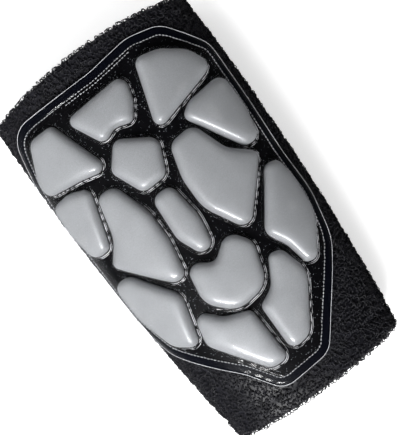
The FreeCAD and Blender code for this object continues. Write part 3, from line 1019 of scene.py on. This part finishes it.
# ------------------------------------------------------------------ the terry sleeve
@dataclass
class TerrySleeve:
    """The terry tube with its turned-in hems and its looped pile.

    Attributes:
        form: the shape it lies in.
        shield_edge: the outline of the shield sewn on it.
        knit_level: height of the knit that carries the pile.
        inner_level: height of the tube's inner face.
        hem_level: height of the hem's inner face.
        hem_width: depth of the hems.
        pile_spare: how far the knit stops short of the sleeve's ends, for the pile to fill.
        around: points round the tube.
        pitch: one loop to the next.
        loop_radius: size of a loop.
        yarn_radius: of the pile's yarn.
        bands: pieces that the pile is split into.
        creases: how deep the hems' stitching pulls the outside in, at forearm and upper arm.
        crease_width: how wide.
        wrap: how far round the sleeve's ends the skin goes, as a share of half a turn.
        pile_wrap: how far round them the pile goes.
        scatter: how far the loops stand from their grid.
        leans: the least and most that a loop leans, in radians.
        sizes: the least and most of its size, as shares.
        thicknesses: the least and most of its yarn's radius, as shares.
        seed: which scatter.
    """

    form: SleeveForm
    shield_edge: Outline
    knit_level: float = -1.9
    inner_level: float = -3.4
    hem_level: float = -5.4
    hem_width: float = 14.0
    pile_spare: float = 1.3
    around: int = 360
    pitch: float = 2.1
    loop_radius: float = 0.98
    yarn_radius: float = 0.31
    bands: int = 5
    creases: tuple[float, float] = (0.9, 0.45)
    crease_width: float = 1.3
    wrap: float = 0.8
    pile_wrap: float = 0.78
    scatter: float = 0.3
    leans: tuple[float, float] = (0.25, 1.15)
    sizes: tuple[float, float] = (0.75, 1.25)
    thicknesses: tuple[float, float] = (0.85, 1.2)
    seed: int = 11

    @property
    def reach(self) -> float:
        """Half the knit's length."""
        return self.form.length / 2 - self.pile_spare

    @property
    def end_radius(self) -> float:
        """Radius that the skin turns with at the sleeve's ends."""
        return (self.knit_level - self.hem_level) / 2

    def end_line(self, level: Array | float) -> Array | float:
        """How far the rounded end runs at a level, short of its fullest place.

        Args:
            level: heights from the terry.

        Returns:
            The distances.
        """
        spare = 0.35
        middle = (self.knit_level + self.hem_level) / 2
        radius = self.end_radius + spare
        return radius - np.sqrt(np.maximum(radius ** 2 - (level - middle) ** 2, 0))

    def ring_points(self, along: float, level: float) -> Array:
        """Points round the tube at a place along its sides, the ends' bow put on.

        Args:
            along: the place along the arm.
            level: height from the terry.

        Returns:
            The points, the lowest of them held above the floor.
        """
        squash, clear = 0.35, 0.15
        line = np.full(self.around, along)
        half = np.interp(along, self.form.stations, self.form.half_girth)
        across = np.linspace(-half, half, self.around, endpoint=False)
        turn = self.form.angle(across, line)
        x = self.form.section(turn, line, level)[0][:, 0]
        points = self.form.section(turn, self.form.bowed(line, x), level)[0]
        points[:, 2] = np.maximum(points[:, 2], -level * squash + clear)
        return points

    def tube(self, name: str, stops: Sequence[tuple[float, float]], inner_from: int,
             materials: Sequence[bpy.types.Material]) -> bpy.types.Object:
        """A closed tube from its profile.

        Args:
            name: the piece's name.
            stops: (along, level) corners of its closed profile, in order.
            inner_from: the first profile step that takes the second material.
            materials: outer and inner materials.

        Returns:
            The tube.
        """
        rings = np.array([self.ring_points(along, level) for along, level in stops])
        count = len(stops)
        index = np.arange(count * self.around).reshape(count, self.around)
        ahead = np.roll(index, -1, 0)
        faces = np.stack([index, np.roll(index, -1, 1), np.roll(ahead, -1, 1), ahead], axis=-1)
        slots = np.repeat((np.arange(count) >= inner_from).astype(int), self.around)
        return mesh_object(name, rings.reshape(-1, 3), [faces.reshape(-1, 4)], materials, slots)

    def wall(self, terry: bpy.types.Material, knit: bpy.types.Material) -> bpy.types.Object:
        """The knitted tube under the pile.

        Args:
            terry: the finish outside.
            knit: the finish inside.

        Returns:
            The tube.
        """
        reach, rim = self.reach, 1.5
        outer_steps, turn_steps, inner_steps = 90, 6, 60
        outer = [(along, self.knit_level - self.crease(along))
                 for along in np.linspace(-reach + rim, reach - rim, outer_steps)]
        turn = np.linspace(self.knit_level, self.inner_level, turn_steps)
        upper = [(reach - float(self.end_line(level)), float(level)) for level in turn]
        inner = [(along, self.inner_level)
                 for along in np.linspace(reach - rim, -reach + rim, inner_steps)]
        lower = [(-along, level) for along, level in reversed(upper)]
        stops = outer + upper + inner + lower
        piece = self.tube("terry_tube", stops, len(outer) + len(upper), (terry, knit))
        return settle(piece, Slot.TERRY, "terry_sleeve")

    def crease(self, along: float) -> float:
        """How far the stitching of a hem pulls the outside in."""
        away = abs(along) - (self.form.length / 2 - self.hem_width + 1)
        return self.creases[int(along >= 0)] * math.exp(-(away / self.crease_width) ** 2)

    def hem(self, side: int, name: str, node: str, knit: bpy.types.Material) -> bpy.types.Object:
        """One turned-in hem.

        Args:
            side: +1 at the upper arm, -1 at the forearm.
            name: the piece's name.
            node: the CAD node that it replaces.
            knit: its material.

        Returns:
            The hem.
        """
        reach, steps, face_steps = self.reach, 12, 5
        gap, bulge, rounding, lead, inner_start, outer_end = 0.08, 0.15, 0.35, 0.6, 4.0, 1.2
        top, low = self.inner_level - gap, self.hem_level
        face = [(reach - float(self.end_line(level)), float(level))
                for level in np.linspace(top, low, face_steps)]
        edge = self.form.length / 2 - self.hem_width
        inner = [(along, low) for along in np.linspace(reach - inner_start, edge + lead, steps)]
        turned = [(edge + bulge, low + rounding), (edge, (low + top) / 2),
                  (edge + bulge, top - rounding)]
        outer = [(along, top) for along in np.linspace(edge + lead, reach - outer_end, steps)]
        stops = [(side * along, level) for along, level in face + inner + turned + outer]
        piece = self.tube(name, stops if side > 0 else stops[::-1], len(stops), (knit,))
        return settle(piece, Slot.KNIT, node)

    def skin(self, walk: Array) -> tuple[Array, Array]:
        """The outer skin, carried over the rounded ends into the tube.

        Args:
            walk: distance along the skin from mid length.

        Returns:
            The place along the arm and the level of each spot.
        """
        straight = self.reach - self.end_radius
        over = np.maximum(np.abs(walk) - straight, 0) / self.end_radius
        turn = np.minimum(over, self.wrap * np.pi)
        along = np.minimum(np.abs(walk), straight) + self.end_radius * np.sin(turn)
        return np.sign(walk) * along, self.knit_level - self.end_radius * (1 - np.cos(turn))

    def place(self, across: Array, walk: Array) -> Array:
        """Points of the skin.

        Args:
            across: distance round the sleeve.
            walk: distance along the skin from mid length.

        Returns:
            The points in mm, one row each.
        """
        along, level = self.skin(walk)
        crease = np.array([self.crease(float(value)) for value in along])
        turn = self.form.angle(across, along)
        x = self.form.section(turn, along, level)[0][:, 0]
        return self.form.section(turn, self.form.bowed(along, x), level - crease)[0]

    def pile(self, terry: bpy.types.Material) -> list[bpy.types.Object]:
        """The terry loops, split along the arm into pieces.

        Args:
            terry: their finish.

        Returns:
            The pieces, from the forearm to the upper arm.
        """
        widest, measured, covered_from = 180.0, 115, 0.35
        chance = np.random.default_rng(self.seed)
        reach = self.reach + self.end_radius * (self.pile_wrap * np.pi - 1)
        spots = hex_spots(np.array([-widest, -reach]), np.array([widest, reach]), self.pitch)
        spots = spots + chance.normal(0, self.scatter, spots.shape)
        places = np.clip(spots[:, 1], -measured, measured)
        girth = np.interp(places, self.form.stations, self.form.half_girth)
        spots = spots[(np.abs(spots[:, 0]) < girth) & (np.abs(spots[:, 1]) < reach)]
        along = self.skin(spots[:, 1])[0]
        depth = self.shield_edge.depth(np.stack([spots[:, 0], along], axis=1))
        covered = (depth > covered_from) & (np.abs(spots[:, 1]) < self.form.length / 2)
        spots = spots[~covered]
        spots = spots[np.argsort(spots[:, 1])]
        pieces = []
        for number, some in enumerate(np.array_split(spots, self.bands), start=1):
            points, faces = self.loops(some, chance)
            piece = mesh_object(f"terry_pile_{number}", points, faces, (terry,))
            pieces.append(settle(piece, Slot.TERRY))
        return pieces

    def loops(self, spots: Array, chance: np.random.Generator) -> tuple[Array, list[Array]]:
        """Loops of yarn rooted at spots on the skin.

        Args:
            spots: (across, walk) rows.
            chance: the seeded chance that varies them.

        Returns:
            The vertices and the faces.
        """
        probe, lobes, lobe_depth, lift, slant, clear = 0.2, 3, 0.15, 0.75, 0.22, 0.1
        arc, steps, sides = (-55, 235), 7, 4
        count = len(spots)
        base = self.place(spots[:, 0], spots[:, 1])
        round_way = self.place(spots[:, 0] + probe, spots[:, 1]) - base
        along_way = self.place(spots[:, 0], spots[:, 1] + probe) - base
        round_way /= np.linalg.norm(round_way, axis=1, keepdims=True)
        up = np.cross(round_way, along_way)
        up /= np.linalg.norm(up, axis=1, keepdims=True)
        along_way = np.cross(up, round_way)
        heading = chance.uniform(0, 2 * np.pi, (count, 1))
        lean = chance.uniform(*self.leans, (count, 1))
        flat_way = round_way * np.cos(heading) + along_way * np.sin(heading)
        side_way = np.cross(up, flat_way)
        rise_way = up * np.cos(lean) + side_way * np.sin(lean)
        radius = self.loop_radius * chance.uniform(*self.sizes, (count, 1))
        turn = np.radians(np.linspace(*arc, steps))[None, :]
        out = -radius * np.cos(turn) * (1 + lobe_depth * np.sin(lobes * turn + heading))
        rise = radius * (lift + np.sin(turn))
        skew = chance.normal(0, slant, (count, 1)) * radius * (turn - np.pi / 2)
        cross_way = np.cross(flat_way, rise_way)
        paths = (base[:, None, :] + out[..., None] * flat_way[:, None, :]
                 + rise[..., None] * rise_way[:, None, :] + skew[..., None] * cross_way[:, None, :])
        paths[..., 2] = np.maximum(paths[..., 2], self.yarn_radius + clear)
        thick = chance.uniform(*self.thicknesses, (count, 1))
        return tubes(paths, np.full(paths.shape[:2], self.yarn_radius) * thick, sides, cross_way)


# ------------------------------------------------------------------ the shield
def ridge(value: Array, middle: Array | float, width: float) -> Array:
    """A smooth ridge, 1 high where the value is at its middle."""
    return np.exp(-((value - middle) / width) ** 2)


@dataclass
class Shield:
    """The clear moulded film over its pads and backing.

    Attributes:
        form: the sleeve it lies on.
        edge: the film's outline.
        pads: each pad's outline, by CAD node.
        seat: height of the backing's upper face.
        film_height: height of the film over the middle of a pad, above the backing.
        rounding: how far in from its edge a pad rises.
        film_grown: how far the film's outer face stands outside a pad.
        cut_edge: half thickness of its whitish cut edge.
        highlight_side: the side of the pads where highlights are painted as white lines along their
            feet.
        flange: width of film outside the seam.
        channel_height: height of the film between the pads.
        fine: spacing of the points on the outlines.
        pad_height: height of the middle of a pad, above the backing.
        pad_grown: how far a pad's foot stands outside its outline.
        inner_height: height of the film's inner face over the middle of a pad.
        film_step: how far the film's inner domes start inside its outer ones.
        least_film: the film's least thickness.
        steepness: how fast a dome rises.
    """

    form: SleeveForm
    edge: Outline
    pads: dict[str, Outline]
    seat: float = 0.65
    film_height: float = 6.75
    channel_height: float = 0.6
    rounding: float = 5.0
    film_grown: float = 0.75
    cut_edge: float = 0.11
    highlight_side: tuple[float, float] = (0.55, -0.83)
    flange: float = 5.2
    fine: float = 1.28
    pad_height: float = 6.25
    pad_grown: float = 0.3
    inner_height: float = 6.35
    film_step: float = 0.35
    least_film: float = 0.18
    steepness: float = 2.2

    def rise(self, depth: Array, height: float) -> Array:
        """Height of a dome at a distance inside its edge."""
        run = np.maximum(depth, 0)
        return height * np.sqrt(1 - np.exp(-self.steepness * run / self.rounding))

    def pad(self, name: str, finish: bpy.types.Material) -> None:
        """One pad: a crowned closed form on a flat base.

        Args:
            name: its CAD node.
            finish: its finish.
        """
        insets, slack = (0.15, 0.4, 0.8, 1.3, 1.9, 2.6, 3.4), 0.03
        pitch, core, tuck, gap, unevenness = 1.2, 4.0, 0.05, 0.02, 0.012
        outline = self.pads[name]
        rim = Outline.resampled(outline.moved(self.pad_grown - tuck), self.fine)
        edge = Outline(rim)
        inner = hex_spots(edge.low, edge.high, pitch)
        layers = [rim, *(edge.ring_inside(inset, slack) for inset in insets),
                  inner[edge.depth(inner) > core]]
        flat, triangles = triangulate(np.vstack(layers), len(rim))
        depth = outline.soft_depth(flat, self.pad_grown)
        uneven = 1 + unevenness * Ripple(14.0, 5).at(flat)
        top = self.form.cover(flat, self.seat + self.rise(depth, self.pad_height) * uneven)
        base = self.form.cover(flat, self.seat + gap)
        faces = shell_faces(triangles, len(flat))
        piece = mesh_object(f"silver_{name}", np.vstack([top, base]), faces, (finish,))
        settle(piece, Slot.PAD, name)

    def depths(self, flat: Array) -> Array:
        """Depth inside the nearest pad's film.

        Args:
            flat: (across, along) rows.

        Returns:
            The depths, negative outside.
        """
        best = np.full(len(flat), -FAR)
        for outline in self.pads.values():
            close = outline.near(flat, NEARBY)
            if close.any():
                depth = outline.soft_depth(flat[close], self.film_grown)
                best[close] = np.maximum(best[close], depth)
        return best

    def channels(self, flat: Array, depth: Array, rim_depth: Array) -> Array:
        """Height of the film's outer face between the pads and on the flange.

        Args:
            flat: (across, along) rows.
            depth: depth inside the nearest pad's film at each.
            rim_depth: depth inside the film's outline at each.

        Returns:
            The heights.
        """
        away = -depth
        broken = 0.62 + 0.38 * Ripple(5.0, 21).at(flat)
        lip = 0.34 * np.clip(broken, 0.1, 1.2) * ridge(away, 0.55, 0.22)
        wave = 0.07 * Ripple(7.0, 8).at(flat) + 0.05 * Ripple(3.0, 9).at(flat)
        groove = -0.38 * ridge(rim_depth, self.flange, 0.55)
        bead = 0.3 * ridge(rim_depth, 0.55, 0.3)
        swell = 0.22 * ridge(rim_depth, 3.0, 1.6)
        return self.channel_height + lip + wave + groove + bead + swell + self.webs(flat, away)

    def webs(self, flat: Array, away: Array) -> Array:
        """Ridges of film stretched between the pads of the left side.

        Args:
            flat: (across, along) rows.
            away: distance from the nearest pad at each.

        Returns:
            The heights.
        """
        high_side = (-2.0, 18.0, (-68.0, -65.6, -63.4))
        upper = (54.0, 62.0, (-67.5, -65.0))
        height, width, slope = 0.9, 0.5, 0.12
        total = np.zeros(len(flat))
        for start, end, places in (high_side, upper):
            middle, half = (start + end) / 2, (end - start) / 2
            span = np.exp(-((flat[:, 1] - middle) / half) ** 4)
            lean = slope * (flat[:, 1] - middle)
            for place in places:
                total += height * span * ridge(flat[:, 0] - place, lean, width)
        return total * np.clip(away, 0, 1)

    def film_spots(self) -> tuple[Array, int]:
        """The flat spots that carry the film.

        Returns:
            The spots, the rim's first, and how many the rim has.
        """
        insets = (0.18, 0.4, 0.65, 0.95, 1.4, 2.1, 3.0, 4.0, 4.55, 4.9, 5.2, 5.5, 5.85, 6.5)
        offsets = (1.75, 1.5, 1.25, 1.0, self.film_grown + 0.02, 0.62, 0.4, 0.1, -0.3,
                   -0.8, -1.4, -2.1, -2.9, -3.8)
        inset_slack, offset_slack, border = 0.05, 0.04, 0.4
        pitch, ring_gap, grid_gap, grid_border, core = 1.45, 2.3, 2.2, 6.9, 4.4
        rim = Outline.resampled(self.edge.points, self.fine)
        edge = Outline(rim)
        layers = [rim]
        for inset in insets:
            ring = edge.ring_inside(inset, inset_slack)
            layers.append(ring[self.pad_gap(ring) > ring_gap])
        for outline in self.pads.values():
            for offset in offsets:
                ring = outline.moved(offset)
                own = np.abs(self.pad_gap(ring) - offset) < offset_slack
                layers.append(ring[own & (edge.depth(ring) > border)])
        grid = hex_spots(edge.low, edge.high, pitch)
        gap = self.pad_gap(grid)
        channel = (gap > grid_gap) & (edge.depth(grid) > grid_border)
        layers.append(grid[channel | (gap < -core)])
        return np.vstack(layers), len(rim)

    def pad_gap(self, flat: Array) -> Array:
        """Distance to the nearest pad.

        Args:
            flat: (across, along) rows.

        Returns:
            The distances, negative inside a pad.
        """
        best = np.full(len(flat), FAR)
        for outline in self.pads.values():
            close = outline.near(flat, NEARBY)
            if close.any():
                best[close] = np.minimum(best[close], -outline.depth(flat[close]))
        return best

    def cut_edge_and_highlight_lines(self) -> list[tuple[Array, Array]]:
        """Whitish lines: the film's cut edge, and painted highlights along the pads' feet on one
        side.

        Returns:
            Each line's points on the flat cover and its radii.
        """
        # The lines along the pads' feet are painted highlights: white cords, drawn only where a
        # pad's side faces one given way.
        feet = ((1.25, 0.19), (2.05, 0.12))  # distance from the pad, and radius
        cut_inset, seam_gap, least = 0.3, 0.6, 0.003
        edge = self.edge.moved(-cut_inset)
        lines = [(np.vstack([edge, edge[:1]]), np.full(len(edge) + 1, self.cut_edge))]
        for place, outline in enumerate(self.pads.values()):
            for offset, width in feet:
                ring = outline.moved(offset)[::2]
                facing = outline.outward[::2] @ np.array(self.highlight_side)
                broken = Ripple(3.2, 40 + place).at(ring) + 0.35
                radius = width * np.clip(facing * 2.2 - 0.5, 0, 1) * np.clip(broken * 2.0, 0, 1)
                radius[self.edge.depth(ring) < self.flange + seam_gap] = 0
                radius = np.maximum(radius, least)
                lines.append((np.vstack([ring, ring[:1]]), np.append(radius, radius[0])))
        return lines

    def film(self, finish: bpy.types.Material, cut: bpy.types.Material) -> None:
        """The one clear moulded sheet, closed all round, with its whitish cut edge and its painted
        highlight lines.

        Args:
            finish: the clear finish.
            cut: the finish of the cut edge and of the painted highlight lines.
        """
        lowest, line_level, sides = 0.04, 0.12, 4
        spots, rim = self.film_spots()
        flat, triangles = triangulate(spots, rim)
        depth = self.depths(flat)
        low = self.channels(flat, depth, self.edge.depth(flat))
        outer = np.maximum(self.rise(depth, self.film_height), low)
        inner = np.maximum(self.rise(depth - self.film_step, self.inner_height), lowest)
        inner = np.minimum(inner, outer - self.least_film)
        top = self.form.cover(flat, self.seat + outer)
        under = self.form.cover(flat, self.seat + inner)
        faces = shell_faces(triangles, len(flat))
        parts = [top, under]
        slots = [np.zeros(len(group)) for group in faces]
        for line, radius in self.cut_edge_and_highlight_lines():
            start = sum(len(part) for part in parts)
            path = self.form.cover(line, self.seat + self.channel_height + line_level)
            cord, groups = tubes(path[None], radius[None], sides, np.array([[0.0, 0.0, 1.0]]))
            parts.append(cord)
            faces = faces + [group + start for group in groups]
            slots += [np.ones(len(group)) for group in groups]
        piece = mesh_object("clear_film", np.vstack(parts), faces, (finish, cut),
                            np.concatenate(slots))
        settle(piece, Slot.FILM, "clear_shield_film")

    def backing(self, speckled: bpy.types.Material, plain: bpy.types.Material) -> None:
        """The black sheet under the film, speckled with painted bubble glints inside the seam and
        smooth outside it.

        Args:
            speckled: the finish inside the seam.
            plain: the finish outside it.
        """
        insets, slack, spacing, pitch, core = (1.2, 2.6, 4.0, 5.05, 5.2, 6.4), 0.05, 1.5, 2.2, 7.5
        tuck, seam, gap, foot = 0.15, 5.1, 0.02, 0.06
        rim = Outline.resampled(self.edge.moved(-tuck), spacing)
        edge = Outline(rim)
        grid = hex_spots(edge.low, edge.high, pitch)
        layers = [rim, *(edge.ring_inside(inset, slack) for inset in insets),
                  grid[edge.depth(grid) > core]]
        flat, triangles = triangulate(np.vstack(layers), len(rim))
        middle = flat[triangles].mean(axis=1)
        smooth = (edge.depth(middle) < seam).astype(int)
        top = self.form.cover(flat, self.seat - gap)
        under = self.form.cover(flat, foot)
        faces = shell_faces(triangles, len(flat))
        slots = np.concatenate([smooth, smooth, np.ones(len(faces[2]), int)])
        piece = mesh_object("backing", np.vstack([top, under]), faces, (speckled, plain), slots)
        settle(piece, Slot.BACKING, "backing_sheet")


# ------------------------------------------------------------------ stitching
@dataclass
class Seam:
    """The lock stitch round the shield, with its second row where it overlaps.

    Attributes:
        shield: what it holds down.
        pitch: one stitch to the next.
        run: visible length of a stitch.
        thread: radius of the thread.
        overlap: the second row's inset, and where it starts and ends across.
        seed: which variation.
    """

    shield: Shield
    pitch: float = 2.0
    run: float = 1.35
    thread: float = 0.23
    overlap: tuple[float, float, float] = (1.7, -26.0, 20.0)
    seed: int = 4

    def row(self, inset: float, chance: np.random.Generator) -> tuple[Array, Array, Array]:
        """A row of stitches on the flat cover.

        Args:
            inset: how far inside the film's edge it runs.
            chance: the seeded chance that varies them.

        Returns:
            The stitches' middles, half runs and directions.
        """
        wander, drift, runs = 0.1, 0.07, (0.86, 1.1)
        line = Outline(Outline.resampled(self.shield.edge.moved(-inset), self.pitch))
        heading = np.stack([-line.outward[:, 1], line.outward[:, 0]], axis=1)
        twist = chance.normal(0, wander, len(heading))
        cos, sin = np.cos(twist)[:, None], np.sin(twist)[:, None]
        heading = heading * cos + line.outward * sin
        middle = line.points + chance.normal(0, drift, line.points.shape)
        return middle, self.run / 2 * chance.uniform(*runs, len(middle)), heading

    def build(self, finish: bpy.types.Material) -> None:
        """All the stitches as one piece.

        Args:
            finish: the thread's finish.
        """
        steps, sides, probe = 7, 6, 5.0
        bed, arch, taper, thicknesses = 0.42, 0.3, 0.55, (0.85, 1.15)
        form = self.shield.form
        chance = np.random.default_rng(self.seed)
        inset, start, end = self.overlap
        first = self.row(self.shield.flange, chance)
        second = self.row(self.shield.flange + inset, chance)
        keep = (second[0][:, 1] > 0) & (second[0][:, 0] > start) & (second[0][:, 0] < end)
        middle, half, heading = (np.concatenate([a, b[keep]]) for a, b in zip(first, second))
        part = np.linspace(-1, 1, steps)
        flat = middle[:, None, :] + heading[:, None, :] * (half[:, None] * part)[..., None]
        level = self.shield.seat + bed + arch * (1 - part ** 4)
        heights = np.broadcast_to(level, flat.shape[:2])
        paths = form.cover(flat.reshape(-1, 2), heights.reshape(-1)).reshape(*flat.shape[:2], 3)
        thick = chance.uniform(*thicknesses, (len(flat), 1))
        radii = self.thread * (1 - taper * part ** 4) * thick
        up = form.cover(middle, probe) - form.cover(middle, 0.0)
        points, faces = tubes(paths, radii, sides, up)
        piece = mesh_object("seam_thread", points, faces, (finish,))
        settle(piece, Slot.WHITE_THREAD, "perimeter_stitches")


# ------------------------------------------------------------------ the studio
@dataclass(frozen=True)
class Softbox:
    """A soft rectangular lamp that points at the part.

    Attributes:
        name: its name.
        place: where it stands, in metres.
        size: its width and height, in metres.
        power: in watts.
        aim: the point that it faces.
    """

    name: str
    place: tuple[float, float, float]
    size: tuple[float, float]
    power: float
    aim: tuple[float, float, float] = (0, 0, 0.03)

    def build(self) -> None:
        """Adds the lamp."""
        light = bpy.data.lights.new(self.name, "AREA")
        light.shape = "RECTANGLE"
        light.size, light.size_y = self.size
        light.energy = self.power
        lamp = bpy.data.objects.new(self.name, light)
        lamp.location = self.place
        way = Vector(self.aim) - Vector(self.place)
        lamp.rotation_euler = way.to_track_quat("-Z", "Y").to_euler()
        bpy.context.scene.collection.objects.link(lamp)


@dataclass
class Studio:
    """Camera, lamps, world and floor.

    Attributes:
        distance: from the camera to the floor under the part.
        roll: turn of the camera about its view.
        lean: lean of the camera to the part's left.
        aim: the floor point that it looks at.
        lens: focal length on a 36 mm sensor.
        dark_from: height of a direction above which the room is dark.
        bright_to: height of a direction below which it is fully bright.
        wall_top: height of a direction below which a low white wall stands round the floor.
        low_dark: height of a direction below which the room is dark again.
        low_bright: height of a direction above which it is fully bright.
        overhead: light overhead, as a share of the panels'.
        light_side: which side is brighter, and by how much.
        room_light: the panels' brightness.
        side_power: how strongly the light keeps to that side.
        wall_fade: how far above its top the low wall fades out.
        key: the one lamp.
        floor_size: the floor's width, in metres.
        floor_shade: its shade.
        floor_roughness: how dull it is.
        floor_glow: the light that it gives off.
    """

    distance: float = 0.9
    roll: float = -36.0
    lean: float = -3.306
    aim: tuple[float, float, float] = (0.0004, 0.0002, 0.0)
    lens: float = 124.85
    dark_from: float = 0.94
    bright_to: float = 0.70
    wall_top: float = 0.10
    low_dark: float = 0.15
    low_bright: float = 0.60
    overhead: float = 0.06
    light_side: tuple[float, float, float] = (-0.88, -0.34, 0.0)
    room_light: float = 1.7
    side_power: float = 2.0
    wall_fade: float = 0.04
    key: Softbox = Softbox("key_lamp", (-0.40, -0.52, 0.74), (0.40, 0.20), 8.0)
    floor_size: float = 6.0
    floor_shade: float = 0.93
    floor_roughness: float = 0.8
    floor_glow: float = 0.45

    def build(self) -> None:
        """Sets everything up."""
        self.camera()
        self.floor()
        self.world()
        self.key.build()
        bpy.context.scene.view_settings.view_transform = "Standard"

    def camera(self) -> None:
        """The camera, above the part and a little to its left."""
        turn = Matrix.Rotation(math.radians(self.roll), 4, "Z") @ Matrix.Rotation(
            math.radians(self.lean), 4, "Y")
        data = bpy.data.cameras.new("camera")
        data.lens = self.lens
        data.sensor_width = 36.0
        camera = bpy.data.objects.new("camera", data)
        camera.matrix_world = Matrix.Translation(self.aim) @ turn @ Matrix.Translation(
            (0, 0, self.distance))
        bpy.context.scene.collection.objects.link(camera)
        bpy.context.scene.camera = camera

    def floor(self) -> None:
        """A plain pale floor."""
        material, _, _, shader = new_material("pale_floor")
        shader.inputs["Base Color"].default_value = (*(self.floor_shade,) * 3, 1)
        shader.inputs["Roughness"].default_value = self.floor_roughness
        shader.inputs["Emission Color"].default_value = (1, 1, 1, 1)
        shader.inputs["Emission Strength"].default_value = self.floor_glow
        bpy.ops.mesh.primitive_plane_add(size=self.floor_size)
        floor = bpy.context.object
        floor.name = "floor"
        floor.data.materials.append(material)
        floor.visible_glossy = False

    def world(self) -> None:
        """Light from a ring of panels, strongest on one side, and a low white wall below it.

        Neither shows in the part's gloss.
        """
        world = bpy.data.worlds.new("soft_room")
        world.use_nodes = True
        bpy.context.scene.world = world
        world.cycles_visibility.glossy = False
        nodes, links = world.node_tree.nodes, world.node_tree.links
        way = nodes.new("ShaderNodeTexCoord").outputs["Generated"]
        split = nodes.new("ShaderNodeSeparateXYZ")
        links.new(way, split.inputs[0])
        height = split.outputs["Z"]
        ring = ramp(nodes, links, height, (self.dark_from, self.bright_to), (self.overhead, 1.0))
        low = ramp(nodes, links, height, (self.low_dark, self.low_bright))
        side = nodes.new("ShaderNodeVectorMath")
        side.operation = "DOT_PRODUCT"
        links.new(way, side.inputs[0])
        side.inputs[1].default_value = self.light_side
        towards = math_node(nodes, links, "ADD", side.outputs["Value"], 1.0)
        strength = math_node(nodes, links, "POWER", towards, self.side_power)
        for share in (ring, low, self.room_light):
            strength = math_node(nodes, links, "MULTIPLY", strength, share)
        wall = ramp(nodes, links, height, (self.wall_top + self.wall_fade, self.wall_top),
                    kind="LINEAR")
        strength = math_node(nodes, links, "MAXIMUM", strength, wall)
        background = nodes["Background"]
        background.inputs["Color"].default_value = (1, 1, 1, 1)
        links.new(strength, background.inputs["Strength"])


PAD_NODES = (
    "pad_top_left", "pad_top_right", "pad_upper_left", "pad_upper_right", "pad_upper_centre",
    "pad_left_side", "pad_elbow_left", "pad_elbow_centre", "pad_elbow_right", "pad_right_side",
    "pad_lower_left", "pad_lower_centre", "pad_bottom_left", "pad_bottom_right",
)

GIRTH_STATIONS = slice(10, -10)  # the stations that lie on the sleeve


def main() -> None:
    """Builds the part's looks in order: sleeve, shield, seam, then the studio."""
    logging.basicConfig(level=logging.INFO, format="%(relativeCreated)d %(message)s")
    effects = Effects()
    terry = Yarn(Slot.TERRY.value, (0.006, 0.006, 0.009), 0.45, 0.08).material(effects)
    knit = Yarn(Slot.KNIT.value, (0.022, 0.022, 0.026), 0.75, 0.15, ribbed=True).material(effects)
    thread = Yarn(Slot.WHITE_THREAD.value, (0.40, 0.41, 0.43), 0.5, 0.1).material(effects)
    black_thread = Yarn(Slot.BLACK_THREAD.value, (0.02, 0.02, 0.022), 0.5, 0.1).material(effects)
    silver = SilverPad().material(effects)
    clear = ClearFilm().material(effects)
    # A light grey for the film's cut edge, and for the highlights painted along the pads' feet.
    cut = Yarn("film_edge_and_painted_highlights", (0.72, 0.73, 0.76), 0.4, 0.0).material(effects)
    # Inside the seam the backing has light specks: bubbles under the film, their glints painted in
    # the colour.
    speckled = Backing("speckled_backing", (0.002, 0.002, 0.0025)).material(effects)
    plain = Backing("smooth_backing", (0.002, 0.0024, 0.0045), share=0.0,
                    roughness=0.3).material(effects)

    form = SleeveForm()
    edge = Outline.of_node("backing_sheet", form, 1.0)
    pads = {name: Outline.of_node(name, form, 0.8) for name in PAD_NODES}

    sleeve = TerrySleeve(form, edge)
    tube = sleeve.wall(terry, knit)
    pile = sleeve.pile(terry)
    hems = [
        sleeve.hem(1, "upper_hem", "upper_arm_hem", knit),
        sleeve.hem(-1, "lower_hem", "forearm_hem", knit),
    ]
    for node in ("upper_arm_hem_stitches", "forearm_hem_stitches"):
        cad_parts[node].data.materials.clear()
        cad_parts[node].data.materials.append(black_thread)

    shield = Shield(form, edge, pads)
    shield.backing(speckled, plain)
    for name in PAD_NODES:
        shield.pad(name, silver)
    shield.film(clear, cut)
    Seam(shield).build(thread)
    Studio().build()


if __name__ == "__main__":
    main()
